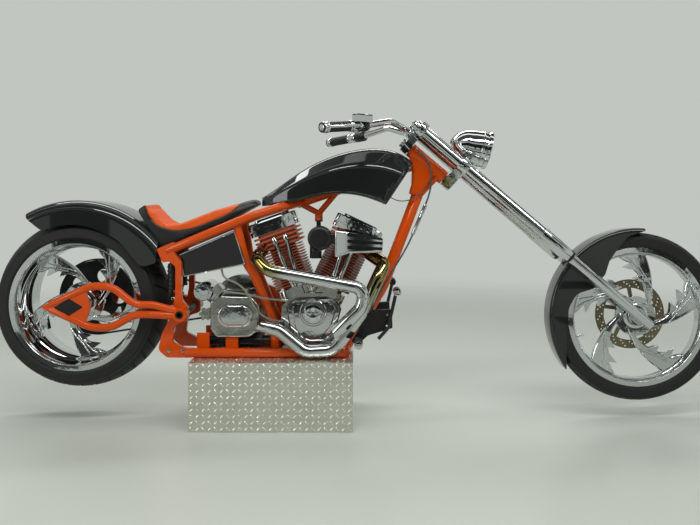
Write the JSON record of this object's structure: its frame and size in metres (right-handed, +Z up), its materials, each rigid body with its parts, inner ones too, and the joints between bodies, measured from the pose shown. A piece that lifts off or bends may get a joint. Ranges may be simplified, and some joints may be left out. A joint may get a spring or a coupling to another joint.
{
  "type": "custom chopper motorcycle on display plinth",
  "caption": "Long-fork custom chopper with an open V-twin engine and bladed wheels, standing on a tread-plate display plinth; its wheels and steering turn.",
  "frame": {"origin": "on the floor below the middle of the machine's length and width", "axes": "+X forward, +Y to the rider's left, +Z up"},
  "size_m": [2.9718, 0.848, 1.2207],
  "materials": {
    "tread_plate": "satin",
    "frame_paint": "gloss",
    "bright_steel": "satin",
    "black_gloss": "gloss",
    "black_satin": "satin",
    "tank_paint": "gloss",
    "seat_leather": "satin",
    "chrome": "mirror",
    "cylinder_paint": "satin",
    "belt_rubber": "matte",
    "lamp_glass": "clear",
    "grip_rubber": "matte",
    "tyre": "matte",
    "bronze_disc": "satin",
    "dark_steel": "satin",
    "cable_jacket": "satin",
    "braided_hose": "satin"
  },
  "bodies": {
    "frame": {"plinth": "tread_plate", "frame_backbone": "frame_paint", "frame_downtube": "frame_paint", "frame_cradle": "frame_paint", "frame_seat_rails": "frame_paint", "frame_uprights": "frame_paint", "frame_seat_posts": "frame_paint", "pivot_shaft": "bright_steel", "swingarm": "frame_paint", "axle_plates": "black_gloss", "rear_axle": "bright_steel", "rear_dampers": "black_satin", "belly_dampers": "black_satin", "fuel_tank": "tank_paint", "rear_fender": "tank_paint", "seat": "seat_leather", "crankcase": "chrome", "cylinders": "cylinder_paint", "cylinder_heads": "chrome", "rocker_boxes": "chrome", "cam_cover": "chrome", "lifter_blocks": "chrome", "pushrod_tubes": "chrome", "carburettor": "black_satin", "air_cleaner": "chrome", "exhaust_rear": "chrome", "exhaust_front": "chrome", "gearbox": "chrome", "gearbox_cover": "chrome", "starter_motor": "chrome", "primary_cover": "chrome", "drive_spacer": "chrome", "front_pulley": "bright_steel", "drive_belt": "belt_rubber", "oil_tank": "tank_paint", "foot_control_right": "chrome", "foot_control_left": "chrome", "control_cable": "cable_jacket", "cable_adjuster": "chrome", "breather_line": "cable_jacket", "oil_hose_rear": "braided_hose", "oil_hose_top": "braided_hose"},
    "steering": {"triple_clamps": "chrome", "fork_uppers": "chrome", "fork_lowers": "chrome", "front_axle": "bright_steel", "front_fender": "tank_paint", "fender_stays": "chrome", "front_caliper": "chrome", "headlight": "chrome", "headlight_lens": "lamp_glass", "handlebar": "chrome", "grips": "grip_rubber", "hand_controls": "chrome"},
    "front_wheel": {"front_tyre": "tyre", "front_rim": "chrome", "front_rotor": "bronze_disc"},
    "rear_wheel": {"rear_tyre": "tyre", "rear_rim": "chrome", "rear_pulley": "dark_steel"}
  },
  "joints": [
    {"name": "steering_head", "type": "hinge", "parent": "frame", "child": "steering", "pos_m": [0.28201, 0, 1.04359], "axis": [-0.7604, 0, 0.6494], "range_deg": [-27, 27]},
    {"name": "front_axle_spin", "type": "hinge", "parent": "steering", "child": "front_wheel", "pos_m": [1.13999, 0, 0.41601], "axis": [0, 1, 0], "continuous": true},
    {"name": "rear_axle_spin", "type": "hinge", "parent": "frame", "child": "rear_wheel", "pos_m": [-1.14, 0, 0.478], "axis": [0, 1, 0], "continuous": true}
  ]
}
